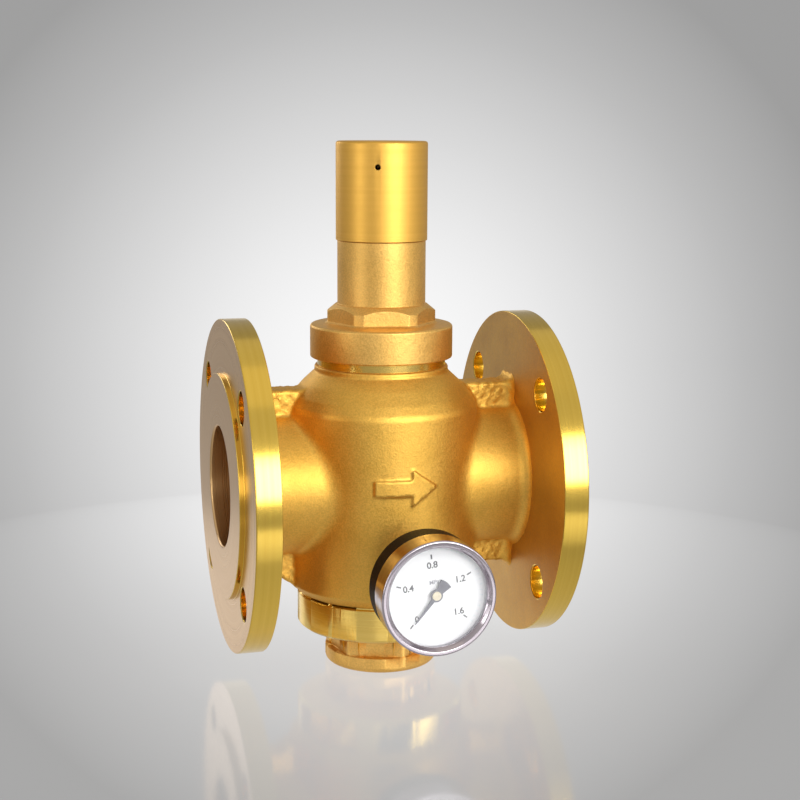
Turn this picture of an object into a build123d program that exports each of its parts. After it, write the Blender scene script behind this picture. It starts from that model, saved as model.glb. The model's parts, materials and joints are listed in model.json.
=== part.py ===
from build123d import *
from math import cos, radians, sin
import os

os.makedirs("parts", exist_ok=True)

# Flanged pressure reducing valve, nominal bore 65, with a 60 mm pressure gauge.
#
# Millimetres.  The origin is the centre of the flat base of the bottom cap.
# +Z runs up the axis of the bonnet, +X runs along the pipe towards the outlet,
# and -Y points out of the dial of the gauge.

# ---------------------------------------------------------------- dimensions

# Pipe line and flanges
PIPE_Z = 104.0            # height of the pipe axis over the base
BORE_R = 32.5             # machined port bore, nominal 65
BORE_END_X = 48.0         # inner end of each machined bore
PORT_R = 34.0             # cast passage behind the bore
NECK_R = 38.5             # outside of the two necks
NECK_FILLET = 3.0
FLANGE_R = 90.0
FLANGE_BACK_X = 73.5
FLANGE_FACE_X = 87.0
RAISED_FACE_X = 90.0      # half of the face to face length
RAISED_FACE_R = 61.0
BOLT_CIRCLE_R = 72.5
BOLT_HOLE_R = 9.0

# Body casting.  The barrel draws in slightly from the pipe axis down to its foot.
BODY_R = 52.3
BODY_FOOT_Z = 42.0        # bottom face of the casting
FOOT_FACE_R = 45.6
FOOT_EDGE_R = 50.9        # barrel radius over the chamfer of the foot
FOOT_EDGE_Z = 47.4
RIDGE_Z = 144.6           # where the cylinder turns into the shoulder
NECK_RING_R = 35.0
NECK_RING_Z = 167.5
BODY_TOP_Z = 171.8
RIB_HALF = 8.0
RIB_TOP_Z = 156.0
RIB_FOOT_Z = 53.5
RIB_SLOPE_X = 60.0        # inside this the underside of the rib slopes down to the foot
CHAMBER_R = 45.0
WEB_LOW_Z = 100.0         # horizontal web that carries the seat
WEB_HIGH_Z = 108.0
WALL_X = 36.0             # inner face of the two upright partition walls
WALL_FAR_X = 42.0
PASSAGE_X = 30.0          # inner end of the openings through those walls
PASSAGE_REACH = 26.0      # how far each opening rises or falls from the pipe axis
TOP_BORE_R = 30.0
THROAT_R = 36.0           # mouth of the upper chamber under the bonnet
SEAT_BORE_R = 25.0
FOOT_BORE_R = 40.0
FOOT_BORE_TOP_Z = 76.0

# Bonnet
COLLAR_R = 38.8
COLLAR_TOP_Z = 189.7
BONNET_HEX_FLATS = 53.5
BONNET_HEX_TURN = -9.5
BONNET_HEX_TOP_Z = 200.0
TUBE_R = 23.9
TUBE_TOP_Z = 234.9
CROWN_LOW_Z = 243.0
CROWN_TOP_Z = 252.0
PISTON_BORE_R = 25.0
SPRING_BORE_R = 18.5
CAP_THREAD_R = 21.5

# Protective cap
CAP_R = 24.7
CAP_LOW_Z = 235.1
CAP_TOP_Z = 287.8
CAP_HOLE_R = 1.6
CAP_HOLE_Z = 274.4
CAP_HOLE_TURN = -20.0     # degrees from -Y towards +X

# Bottom cap
FOOT_RING_R = 46.4
FOOT_HEX_R = 31.0
FOOT_HEX_TURN = -20.4
BASE_R = 27.3
BASE_COLLAR_Z = 9.0       # top of the round collar under the hexagon
CAP_UNDER_Z = 18.8        # top of the hexagon, where the underside of the ring begins
GUIDE_R = 20.03           # bore that guides the balance piston

# Moving valve set
STEM_R = 8.0
STEM_END_R = 6.0
PISTON_R = 24.95
PISTON_LOW_Z = 150.0
DISC_TOP_Z = 90.0
SEAT_LIP_Z = 98.0
BALANCE_R = 19.97

# Spring and its adjuster
WIRE_R = 2.5
SPRING_R = 14.5
SPRING_LOW_Z = 157.05
SPRING_TOP_Z = 227.95
SCREW_R = 8.0

# Gauge: depths are Y values, radii are about the gauge axis
GAUGE_Z = 67.0
BOSS_R = 12.5
BOSS_Y = -64.0
GAUGE_THREAD_R = 6.5
CASE_REAR_Y = -84.0
CASE_FLOOR_Y = -85.0      # inner face of the back of the case
DIAL_Y = -104.5
BEZEL_REAR_Y = -98.0
BEZEL_FRONT_Y = -112.0
BEZEL_R = 29.5
CASE_R = 29.0
ZERO_ANGLE = 232.0        # direction of the zero mark, anticlockwise from +X
SECTOR_PIVOT = -11.0      # height of the sector's pivot over the gauge axis
SECTOR_R = 9.9
PINION_R = 1.1
PINION_TEETH = 8
TOOTH_STEP = 5.0          # degrees between teeth on the sector

PIPE_PLANE = Plane(origin=(0, 0, PIPE_Z), x_dir=(1, 0, 0), z_dir=(0, -1, 0))
PIPE_AXIS = Axis((0, 0, PIPE_Z), (1, 0, 0))
GAUGE_PLANE = Plane(origin=(0, 0, GAUGE_Z), x_dir=(1, 0, 0), z_dir=(0, 0, 1))
GAUGE_AXIS = Axis((0, 0, GAUGE_Z), (0, 1, 0))


# ------------------------------------------------------------------- helpers

def turned(outline, plane=Plane.XZ, axis=Axis.Z, mode=Mode.ADD):
    """Turn a closed outline of (radius, height) points about the upright axis."""
    with BuildSketch(plane) as section:
        with BuildLine():
            Polyline(*outline, close=True)
        make_face()
    revolve(section.sketch, axis=axis, mode=mode)


def turned_on_pipe(outline, mode=Mode.ADD):
    """Turn an outline of (x, radius) points about the pipe axis."""
    turned(outline, PIPE_PLANE, PIPE_AXIS, mode)


def turned_on_gauge(outline, mode=Mode.ADD):
    """Turn an outline of (radius, y) points about the gauge axis."""
    turned(outline, GAUGE_PLANE, GAUGE_AXIS, mode)


def ring(inner, outer, low, high, mode=Mode.ADD):
    """A plain ring about the upright axis."""
    turned([(inner, low), (outer, low), (outer, high), (inner, high)], mode=mode)


def gauge_ring(inner, outer, rear, front, mode=Mode.ADD):
    """A plain ring about the gauge axis, from its rear Y to its front Y."""
    turned_on_gauge([(inner, rear), (outer, rear), (outer, front), (inner, front)], mode)


def facing_dial(y, height=0.0):
    """A plane at depth y that faces out of the dial, height over the gauge axis."""
    return Plane(origin=(0, y, GAUGE_Z + height), x_dir=(1, 0, 0), z_dir=(0, -1, 0))


def save(piece, name):
    """Label a finished piece and write it to its own file."""
    piece.part.label = name
    export_step(piece.part, f"parts/{name}.step")


# ------------------------------------------------------------- valve body

# A cast arrow on the front of the body shows the way of the flow.
ARROW_LENGTH = 34.0
ARROW_HEAD = 14.0
ARROW_HALF = 10.0
ARROW_SHAFT_HALF = 4.2
ARROW_PROUD = 1.2
ARROW_Z = PIPE_Z + 5.0
ARROW_ROOT_Y = 8.0 - BODY_R

with BuildPart() as flow_arrow:
    with BuildSketch(Plane(origin=(0, ARROW_ROOT_Y, ARROW_Z), x_dir=(1, 0, 0), z_dir=(0, -1, 0))):
        with BuildLine():
            Polyline(
                (-ARROW_LENGTH / 2, -ARROW_SHAFT_HALF),
                (ARROW_LENGTH / 2 - ARROW_HEAD, -ARROW_SHAFT_HALF),
                (ARROW_LENGTH / 2 - ARROW_HEAD, -ARROW_HALF),
                (ARROW_LENGTH / 2, 0),
                (ARROW_LENGTH / 2 - ARROW_HEAD, ARROW_HALF),
                (ARROW_LENGTH / 2 - ARROW_HEAD, ARROW_SHAFT_HALF),
                (-ARROW_LENGTH / 2, ARROW_SHAFT_HALF),
                close=True,
            )
        make_face()
    extrude(amount=12)
    with Locations((0, 0, ARROW_Z)):
        Cylinder(radius=BODY_R + ARROW_PROUD, height=80, mode=Mode.INTERSECT)

with BuildPart() as valve_body:
    # Upright casting: cylinder, shoulder, cast lip and machined neck ring.
    turned([
        (0, BODY_FOOT_Z), (FOOT_FACE_R, BODY_FOOT_Z), (FOOT_EDGE_R, FOOT_EDGE_Z),
        (BODY_R, PIPE_Z), (BODY_R, RIDGE_Z), (51.7, 147.0), (48.7, 151.9), (43.2, 158.2),
        (37.6, 163.4), (36.5, 164.5), (36.5, 166.6), (36.0, NECK_RING_Z),
        (NECK_RING_R, NECK_RING_Z), (NECK_RING_R, BODY_TOP_Z), (0, BODY_TOP_Z),
    ])
    # Necks, each filleted into the back of its flange.
    for side in (-1, 1):
        fillet_x = side * (FLANGE_BACK_X - NECK_FILLET)
        back_x = side * FLANGE_BACK_X
        with BuildSketch(PIPE_PLANE) as neck_section:
            with BuildLine():
                Polyline((fillet_x, 0), (0, 0), (0, NECK_R), (fillet_x, NECK_R))
                RadiusArc((fillet_x, NECK_R), (back_x, NECK_R + NECK_FILLET), side * -NECK_FILLET)
                Polyline((back_x, NECK_R + NECK_FILLET), (back_x, 0), (fillet_x, 0))
            make_face()
        revolve(neck_section.sketch, axis=PIPE_AXIS)
    # Ribs above and below each neck, in the plane of the pipe and the bonnet.
    with BuildSketch(Plane.XZ.offset(-RIB_HALF)):
        with BuildLine():
            Polyline(
                (-FLANGE_BACK_X - 1, RIB_FOOT_Z), (-RIB_SLOPE_X, RIB_FOOT_Z),
                (-FOOT_FACE_R, FOOT_EDGE_Z - 3.5), (FOOT_FACE_R, FOOT_EDGE_Z - 3.5),
                (RIB_SLOPE_X, RIB_FOOT_Z), (FLANGE_BACK_X + 1, RIB_FOOT_Z),
                (FLANGE_BACK_X + 1, RIB_TOP_Z + 2.5), (FLANGE_BACK_X - 2.5, RIB_TOP_Z),
                (-FLANGE_BACK_X + 2.5, RIB_TOP_Z), (-FLANGE_BACK_X - 1, RIB_TOP_Z + 2.5),
                close=True,
            )
        make_face()
    extrude(amount=2 * RIB_HALF)
    # Boss that the gauge screws into.
    turned_on_gauge([(0, 0), (BOSS_R, 0), (BOSS_R, BOSS_Y + 1), (BOSS_R - 1, BOSS_Y), (0, BOSS_Y)])
    # Flanges with their raised faces.
    for side in (-1, 1):
        turned_on_pipe([
            (side * FLANGE_BACK_X, 0), (side * FLANGE_BACK_X, FLANGE_R - 0.6),
            (side * (FLANGE_BACK_X + 0.6), FLANGE_R), (side * (FLANGE_FACE_X - 0.6), FLANGE_R),
            (side * FLANGE_FACE_X, FLANGE_R - 0.6), (side * FLANGE_FACE_X, RAISED_FACE_R),
            (side * RAISED_FACE_X, RAISED_FACE_R), (side * RAISED_FACE_X, 0),
        ])
    add(flow_arrow.part)
    # Chambers.  Two upright walls and the web between them part the inlet from the outlet.
    with BuildSketch(Plane.XY.offset(FOOT_BORE_TOP_Z - 6)):
        Circle(CHAMBER_R)
        with Locations((WALL_X + 30, 0)):
            Rectangle(60, 120, mode=Mode.SUBTRACT)
    extrude(amount=WEB_LOW_Z - FOOT_BORE_TOP_Z + 6, mode=Mode.SUBTRACT)
    with BuildSketch(Plane.XY.offset(WEB_HIGH_Z)):
        Circle(CHAMBER_R)
        with Locations((-WALL_X - 30, 0)):
            Rectangle(60, 120, mode=Mode.SUBTRACT)
    extrude(amount=RIDGE_Z - WEB_HIGH_Z, mode=Mode.SUBTRACT)
    turned([
        (0, RIDGE_Z - 1), (THROAT_R, RIDGE_Z - 1), (THROAT_R, RIDGE_Z + 4), (TOP_BORE_R, 157.0),
        (TOP_BORE_R, BODY_TOP_Z), (0, BODY_TOP_Z),
    ], mode=Mode.SUBTRACT)
    ring(0, SEAT_BORE_R, WEB_LOW_Z, WEB_HIGH_Z, mode=Mode.SUBTRACT)
    ring(0, FOOT_BORE_R, BODY_FOOT_Z, FOOT_BORE_TOP_Z, mode=Mode.SUBTRACT)
    # Port bores, each with a cast passage behind it that is open to its own chamber only.
    for side in (-1, 1):
        turned_on_pipe([
            (side * WALL_FAR_X, 0), (side * WALL_FAR_X, PORT_R), (side * BORE_END_X, PORT_R),
            (side * BORE_END_X, BORE_R), (side * RAISED_FACE_X, BORE_R), (side * RAISED_FACE_X, 0),
        ], mode=Mode.SUBTRACT)
    for side, low, high in ((-1, PIPE_Z - PASSAGE_REACH, WEB_LOW_Z), (1, WEB_HIGH_Z, PIPE_Z + PASSAGE_REACH)):
        with BuildSketch(Plane.YZ.offset(side * PASSAGE_X)):
            with Locations((0, PIPE_Z)):
                Circle(PORT_R)
            with Locations((0, (low + high) / 2)):
                Rectangle(2 * PORT_R, high - low, mode=Mode.INTERSECT)
        extrude(amount=side * (WALL_FAR_X - PASSAGE_X), mode=Mode.SUBTRACT)
    # Flange bolt holes straddle the centre lines.
    for side in (-1, 1):
        with BuildSketch(Plane.YZ.offset(side * FLANGE_BACK_X)):
            with Locations((0, PIPE_Z)):
                with PolarLocations(BOLT_CIRCLE_R, 4, start_angle=45):
                    Circle(BOLT_HOLE_R)
        extrude(amount=side * (FLANGE_FACE_X - FLANGE_BACK_X), mode=Mode.SUBTRACT)
    # Tapped port for the gauge and the drilling behind it.
    turned_on_gauge([(0, -47), (GAUGE_THREAD_R, -47), (GAUGE_THREAD_R, BOSS_Y), (0, BOSS_Y)],
                    mode=Mode.SUBTRACT)
    turned_on_gauge([(0, -38), (2.5, -38), (2.5, -47), (0, -47)], mode=Mode.SUBTRACT)
save(valve_body, "valve_body")


# ----------------------------------------------------- seat and silencer cage

with BuildPart() as seat_ring:
    turned([
        (20.0, SEAT_LIP_Z), (22.0, SEAT_LIP_Z), (23.5, WEB_LOW_Z), (SEAT_BORE_R, WEB_LOW_Z),
        (SEAT_BORE_R, WEB_HIGH_Z), (29.0, WEB_HIGH_Z), (29.0, 111.0), (20.0, 111.0),
    ])
save(seat_ring, "seat_ring")

CAGE_BORE_R = 21.2
CAGE_R = 23.2
CAGE_LOW_Z = 111.0
CAGE_TOP_Z = 146.0
CAGE_FLANGE_R = 28.6      # the top flange is clamped under the bonnet
CAGE_FLANGE_Z = 143.6
CAGE_ROWS = 5
CAGE_HOLES = 16

with BuildPart() as silencer_cage:
    turned([
        (CAGE_BORE_R, CAGE_LOW_Z), (CAGE_R, CAGE_LOW_Z), (CAGE_R, CAGE_FLANGE_Z),
        (CAGE_FLANGE_R, CAGE_FLANGE_Z), (CAGE_FLANGE_R, CAGE_TOP_Z), (CAGE_BORE_R, CAGE_TOP_Z),
    ])
    for row in range(CAGE_ROWS):
        height = CAGE_LOW_Z + 5.5 + row * 6.0
        stagger = (row % 2) * 180 / CAGE_HOLES
        for hole in range(CAGE_HOLES):
            turn = stagger + hole * 360 / CAGE_HOLES
            across = (cos(radians(turn)), sin(radians(turn)), 0)
            with BuildSketch(Plane(origin=(0, 0, height), z_dir=across)):
                Circle(2.2)
            extrude(amount=CAGE_FLANGE_R, mode=Mode.SUBTRACT)
save(silencer_cage, "silencer_cage")


# -------------------------------------------------------------------- bonnet

with BuildPart() as bonnet_hexagon:
    with BuildSketch(Plane.XY.offset(COLLAR_TOP_Z - 2)):
        RegularPolygon(BONNET_HEX_FLATS / 2, 6, major_radius=False, rotation=BONNET_HEX_TURN)
    extrude(amount=BONNET_HEX_TOP_Z - COLLAR_TOP_Z + 3)
    # The corners are turned down and the top is chamfered.
    turned([
        (0, COLLAR_TOP_Z - 2), (29.4, COLLAR_TOP_Z - 2), (29.4, 197.0), (25.0, 200.6), (0, 200.6),
    ], mode=Mode.INTERSECT)

with BuildPart() as bonnet:
    turned([
        (PISTON_BORE_R, 146.0), (29.0, 146.0), (29.0, 157.0), (TOP_BORE_R, 158.0),
        (TOP_BORE_R, 167.0), (27.4, 167.0), (27.4, 170.2), (TOP_BORE_R, 170.2),
        (TOP_BORE_R, BODY_TOP_Z), (37.8, BODY_TOP_Z), (COLLAR_R, BODY_TOP_Z + 1.0),
        (COLLAR_R, COLLAR_TOP_Z - 1.4), (COLLAR_R - 1.4, COLLAR_TOP_Z), (31.5, COLLAR_TOP_Z + 1.2),
        (TUBE_R, COLLAR_TOP_Z + 1.2), (TUBE_R, TUBE_TOP_Z), (CAP_THREAD_R, TUBE_TOP_Z),
        (CAP_THREAD_R, CROWN_TOP_Z - 1), (CAP_THREAD_R - 1, CROWN_TOP_Z),
        (SCREW_R + 0.05, CROWN_TOP_Z), (SCREW_R + 0.05, CROWN_LOW_Z),
        (SPRING_BORE_R, CROWN_LOW_Z), (SPRING_BORE_R, 188.0), (PISTON_BORE_R, 185.0),
    ])
    add(bonnet_hexagon.part)
    ring(0, SPRING_BORE_R, 186.0, 205.0, mode=Mode.SUBTRACT)
    turned([(0, 184), (PISTON_BORE_R, 184), (PISTON_BORE_R, 185), (SPRING_BORE_R, 188), (0, 188)],
           mode=Mode.SUBTRACT)
save(bonnet, "bonnet")

with BuildPart() as bonnet_o_ring:
    with BuildSketch(Plane.XZ):
        with Locations((28.7, 168.6)):
            Circle(1.3)
    revolve(axis=Axis.Z)
save(bonnet_o_ring, "bonnet_o_ring")


# ---------------------------------------------------------------- bottom cap

with BuildPart() as foot_hexagon:
    with BuildSketch(Plane.XY.offset(BASE_COLLAR_Z - 1)):
        RegularPolygon(FOOT_HEX_R, 6, rotation=FOOT_HEX_TURN)
    extrude(amount=CAP_UNDER_Z - BASE_COLLAR_Z + 2)
    # The hexagon stands on a round collar with a rounded lower edge.
    turned([
        (0, 0), (BASE_R, 0), (29.6, 0.9), (30.6, 1.9), (FOOT_HEX_R, 3.3), (FOOT_HEX_R, BASE_COLLAR_Z),
        (0, BASE_COLLAR_Z),
    ])

GALLERY_R = 37.5

with BuildPart() as bottom_cap:
    turned([
        (0, CAP_UNDER_Z), (33.0, CAP_UNDER_Z), (44.4, 22.4), (45.8, 23.4), (FOOT_RING_R, 24.8),
        (FOOT_RING_R, 40.6), (45.4, 41.3), (45.4, BODY_FOOT_Z), (FOOT_BORE_R, BODY_FOOT_Z),
        (FOOT_BORE_R, 52.5), (37.4, 52.5), (37.4, 55.7), (FOOT_BORE_R, 55.7), (FOOT_BORE_R, 59.0),
        (GALLERY_R, 59.0), (GALLERY_R, 69.8), (FOOT_BORE_R, 69.8), (FOOT_BORE_R, 71.2),
        (37.4, 71.2), (37.4, 74.4), (FOOT_BORE_R, 74.4), (FOOT_BORE_R, FOOT_BORE_TOP_Z),
        (0, FOOT_BORE_TOP_Z),
    ])
    add(foot_hexagon.part)
    # Guide bore for the balance piston, with a groove for its seal.
    ring(0, GUIDE_R, 20.0, FOOT_BORE_TOP_Z, mode=Mode.SUBTRACT)
    ring(0, 22.6, 71.4, 74.0, mode=Mode.SUBTRACT)
    # Four drillings join the balance chamber to the gallery that feeds the gauge.
    for quarter in range(4):
        turn = radians(45 + 90 * quarter)
        with BuildSketch(Plane(origin=(0, 0, 61.2), z_dir=(cos(turn), sin(turn), 0))):
            Circle(2.0)
        extrude(amount=38, mode=Mode.SUBTRACT)
save(bottom_cap, "bottom_cap")

for name, height in (("bottom_o_ring", 54.1), ("gallery_o_ring", 72.8)):
    with BuildPart() as cap_seal:
        with BuildSketch(Plane.XZ):
            with Locations((38.7, height)):
                Circle(1.3)
        revolve(axis=Axis.Z)
    save(cap_seal, name)

with BuildPart() as balance_seal:
    ring(BALANCE_R + 0.03, 22.6, 71.5, 73.9)
save(balance_seal, "balance_seal")


# ------------------------------------------------------- moving valve set

with BuildPart() as stem:
    turned([
        (0, 46.0), (5.5, 46.0), (STEM_END_R, 47.0), (STEM_END_R, 93.0), (STEM_R, 93.0),
        (STEM_R, PISTON_LOW_Z), (STEM_END_R, PISTON_LOW_Z), (STEM_END_R, 173.0), (5.0, 174.0),
        (0, 174.0),
    ])
    # The drilling carries outlet pressure down to the balance chamber.
    ring(0, 2.0, 46.0, 128.0, mode=Mode.SUBTRACT)
    with BuildSketch(Plane.XZ.offset(-10)):
        with Locations((0, 125.0)):
            Circle(2.0)
    extrude(amount=20, mode=Mode.SUBTRACT)
save(stem, "stem")

with BuildPart() as piston:
    turned([
        (STEM_END_R, PISTON_LOW_Z), (24.0, PISTON_LOW_Z), (PISTON_R, 151.0), (PISTON_R, 152.0),
        (21.9, 152.0), (21.9, 155.4), (PISTON_R, 155.4), (PISTON_R, 159.0), (23.4, 159.0),
        (23.4, 164.0), (PISTON_R, 164.0), (PISTON_R, 166.0), (17.8, 166.0), (17.2, 165.0),
        (17.2, 157.0), (STEM_END_R, 157.0),
    ])
save(piston, "piston")

with BuildPart() as piston_seal:
    turned([
        (21.9, 152.1), (PISTON_R + 0.02, 152.1), (PISTON_R + 0.02, 153.0), (24.4, 153.7),
        (PISTON_R + 0.02, 154.4), (PISTON_R + 0.02, 155.3), (21.9, 155.3),
    ])
save(piston_seal, "piston_seal")

with BuildPart() as piston_guide_ring:
    ring(23.4, PISTON_R + 0.01, 159.1, 163.9)
save(piston_guide_ring, "piston_guide_ring")

with BuildPart() as piston_washer:
    ring(STEM_END_R, 11.0, 157.0, 159.0)
save(piston_washer, "piston_washer")

for name, low, high in (("piston_nut", 159.0, 169.0), ("stem_nut", 49.0, 58.0)):
    with BuildPart() as nut:
        with BuildSketch(Plane.XY.offset(low)):
            RegularPolygon(9.0, 6, major_radius=False)
            Circle(STEM_END_R, mode=Mode.SUBTRACT)
        extrude(amount=high - low)
        chamfer(nut.edges().filter_by(GeomType.LINE).filter_by(Axis.Z, reverse=True), 0.5)
    save(nut, name)

with BuildPart() as disc_clamp:
    turned([
        (STEM_END_R, DISC_TOP_Z), (18.5, DISC_TOP_Z), (18.5, 91.5), (16.5, 93.0), (STEM_END_R, 93.0),
    ])
save(disc_clamp, "disc_clamp")

with BuildPart() as valve_disc:
    ring(9.0, 24.5, 84.0, DISC_TOP_Z)
save(valve_disc, "valve_disc")

with BuildPart() as disc_holder:
    turned([
        (STEM_END_R, 76.3), (24.0, 76.3), (26.0, 78.3), (26.0, 88.5), (24.5, 88.5), (24.5, 84.0),
        (9.0, 84.0), (9.0, DISC_TOP_Z), (STEM_END_R, DISC_TOP_Z),
    ])
save(disc_holder, "disc_holder")

with BuildPart() as balance_piston:
    turned([
        (STEM_END_R, 58.0), (17.0, 58.0), (17.0, 62.4), (BALANCE_R, 63.4), (BALANCE_R, 76.3),
        (STEM_END_R, 76.3),
    ])
save(balance_piston, "balance_piston")


# ----------------------------------------------- spring and pressure adjuster

with BuildPart() as spring:
    with BuildLine(Plane.XY.offset(SPRING_LOW_Z + WIRE_R)) as coil:
        Helix(pitch=9.4, height=SPRING_TOP_Z - SPRING_LOW_Z - 2 * WIRE_R, radius=SPRING_R)
    with BuildSketch(Plane(origin=coil.wire() @ 0, z_dir=coil.wire() % 0)):
        Circle(WIRE_R)
    sweep(is_frenet=True)
save(spring, "spring")

with BuildPart() as spring_plate:
    turned([
        (0, 222.0), (10.5, 222.0), (11.5, 223.0), (11.5, 228.0), (18.0, 228.0), (18.0, 233.0),
        (12.0, 234.0), (12.0, 238.0), (6.05, 238.0), (6.05, 232.0), (0, 232.0),
    ])
save(spring_plate, "spring_plate")

with BuildPart() as adjusting_screw:
    turned([
        (0, 232.0), (5.0, 232.0), (6.0, 233.0), (6.0, 238.0), (SCREW_R - 0.8, 238.0),
        (SCREW_R, 239.0), (SCREW_R, 269.0), (SCREW_R - 1, 270.0), (0, 270.0),
    ])
    with BuildSketch(Plane.XY.offset(261.0)):
        RegularPolygon(4.0, 6, major_radius=False)
    extrude(amount=9.0, mode=Mode.SUBTRACT)
save(adjusting_screw, "adjusting_screw")

with BuildPart() as lock_nut:
    with BuildSketch(Plane.XY.offset(CROWN_TOP_Z + 0.05)):
        RegularPolygon(12.0, 6, major_radius=False)
    extrude(amount=8.0)
    turned([
        (0, 252), (12.4, 252), (13.9, 253.2), (13.9, 258.9), (12.4, 260.1), (0, 260.1),
    ], mode=Mode.INTERSECT)
    ring(0, SCREW_R + 0.05, 252.0, 260.1, mode=Mode.SUBTRACT)
save(lock_nut, "lock_nut")


# ------------------------------------------------------------ protective cap

with BuildPart() as cap:
    turned([
        (CAP_THREAD_R + 0.05, CAP_LOW_Z), (CAP_R - 0.3, CAP_LOW_Z), (CAP_R, CAP_LOW_Z + 0.3),
        (CAP_R, CAP_TOP_Z - 1.3), (CAP_R - 0.4, CAP_TOP_Z - 0.4), (CAP_R - 1.3, CAP_TOP_Z),
        (0, CAP_TOP_Z), (0, 283.0), (20.0, 283.0), (CAP_THREAD_R + 0.05, 281.5),
        (CAP_THREAD_R + 0.05, 240.0), (23.1, 240.0), (23.1, 236.8), (CAP_THREAD_R + 0.05, 236.8),
    ])
    # A bar through this hole turns the cap.
    turn = radians(CAP_HOLE_TURN)
    with BuildSketch(Plane(origin=(0, 0, CAP_HOLE_Z), z_dir=(sin(turn), -cos(turn), 0))):
        Circle(CAP_HOLE_R)
    extrude(amount=CAP_R + 1, both=True, mode=Mode.SUBTRACT)
save(cap, "cap")

with BuildPart() as cap_o_ring:
    ring(CAP_THREAD_R + 0.03, 23.1, 236.9, 239.9)
save(cap_o_ring, "cap_o_ring")


# --------------------------------------------------- gauge case and its front

CASE_SCREWS = ((0, -12), (0, -17))
CASE_SCREW_R = 1.5

with BuildPart() as gauge_socket:
    # Threaded spigot, hexagon, and the neck through the back of the case.
    turned_on_gauge([
        (0, -48), (GAUGE_THREAD_R - 0.7, -48), (GAUGE_THREAD_R, -49), (GAUGE_THREAD_R, -66), (0, -66),
    ])
    with BuildSketch(facing_dial(BOSS_Y - 1.5)):
        RegularPolygon(7.0, 6, major_radius=False, rotation=17)
    extrude(amount=17)
    turned_on_gauge([(0, -80), (6.0, -80), (6.0, CASE_FLOOR_Y), (0, CASE_FLOOR_Y)])
    # Block inside the case that carries the tube and the movement.
    with BuildSketch(facing_dial(CASE_FLOOR_Y)):
        with Locations((0, -8)):
            Rectangle(12, 28)
    extrude(amount=9)
    turned_on_gauge([(18.4, -89), (20.6, -89), (20.6, -94), (18.4, -94)], mode=Mode.SUBTRACT)
    turned_on_gauge([(0, -48), (1.5, -48), (1.5, -90), (0, -90)], mode=Mode.SUBTRACT)
    with BuildSketch(facing_dial(CASE_REAR_Y)):
        with Locations(*CASE_SCREWS):
            Circle(CASE_SCREW_R)
    extrude(amount=6, mode=Mode.SUBTRACT)
save(gauge_socket, "gauge_socket")

with BuildPart() as gauge_washer:
    gauge_ring(6.6, 9.5, BOSS_Y, BOSS_Y - 1.5)
save(gauge_washer, "gauge_washer")

with BuildPart() as gauge_case:
    turned_on_gauge([
        (6.0, CASE_REAR_Y), (27.0, CASE_REAR_Y), (28.4, CASE_REAR_Y - 0.6), (CASE_R, CASE_REAR_Y - 2.0),
        (CASE_R, -107.4), (28.1, -107.4), (28.1, -103.7), (26.0, -103.7), (26.0, -102.7),
        (28.1, -101.5), (28.1, CASE_FLOOR_Y - 1.4), (27.0, CASE_FLOOR_Y), (6.0, CASE_FLOOR_Y),
    ])
    with BuildSketch(facing_dial(CASE_REAR_Y + 1)):
        with Locations(*CASE_SCREWS):
            Circle(CASE_SCREW_R)
    extrude(amount=3, mode=Mode.SUBTRACT)
save(gauge_case, "gauge_case")

with BuildPart() as case_screws:
    with BuildSketch(facing_dial(CASE_REAR_Y + 1.4)):
        with Locations(*CASE_SCREWS):
            Circle(2.3)
    extrude(amount=1.4)
    with BuildSketch(facing_dial(CASE_REAR_Y)):
        with Locations(*CASE_SCREWS):
            Circle(CASE_SCREW_R)
    extrude(amount=5.8)
save(case_screws, "case_screws")

with BuildPart() as bezel:
    turned_on_gauge([
        (CASE_R, BEZEL_REAR_Y), (BEZEL_R, BEZEL_REAR_Y), (BEZEL_R, -110.4), (29.2, -111.4),
        (28.5, BEZEL_FRONT_Y), (27.6, -111.7), (25.9, -110.0), (25.4, -109.6), (25.4, -109.3),
        (CASE_R, -109.3),
    ])
save(bezel, "bezel")

with BuildPart() as lens:
    gauge_ring(0, 28.6, -107.5, -109.3)
save(lens, "lens")

with BuildPart() as lens_gasket:
    turned_on_gauge([
        (26.4, DIAL_Y), (28.1, DIAL_Y), (28.1, -107.4), (28.9, -107.4), (28.9, -107.5), (26.0, -107.5),
    ])
save(lens_gasket, "lens_gasket")

with BuildPart() as dial:
    gauge_ring(1.6, 28.0, DIAL_Y + 0.8, DIAL_Y)
save(dial, "dial")


# ---------------------------------------------------- gauge tube and movement

TUBE_ROOT_ANGLE = 260.0
TUBE_TIP_ANGLE = -20.0
LINK_PIN = (5.0, -12.0)   # pin on the tail of the sector, from the gauge axis
PLATE_REAR_Y = -94.0
PLATE_FRONT_Y = -101.0
PLATE_THICK = 0.8
POSTS = ((8.0, 4.0), (-8.0, -13.0))


def tube_plane(angle):
    """The upright plane through the gauge axis at an angle from +X."""
    turn = radians(angle)
    return Plane(origin=(0, 0, GAUGE_Z), x_dir=(cos(turn), 0, sin(turn)), z_dir=(-sin(turn), 0, cos(turn)))


with BuildPart() as bourdon_tube:
    # A flattened tube bent to a letter C, with a hollow that reaches its closed tip.
    with BuildSketch(tube_plane(TUBE_ROOT_ANGLE)) as tube_section:
        with Locations((19.5, -91.5)):
            Rectangle(2.2, 5.0)
            Rectangle(1.4, 4.2, mode=Mode.SUBTRACT)
    revolve(tube_section.sketch, axis=GAUGE_AXIS, revolution_arc=TUBE_ROOT_ANGLE - TUBE_TIP_ANGLE)
save(bourdon_tube, "bourdon_tube")

with BuildPart() as tube_tip:
    with BuildSketch(tube_plane(TUBE_TIP_ANGLE)) as tip_section:
        with Locations((19.5, -93.5)):
            Rectangle(3.4, 9.0)
    revolve(tip_section.sketch, axis=GAUGE_AXIS, revolution_arc=7.0)
save(tube_tip, "tube_tip")

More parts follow.
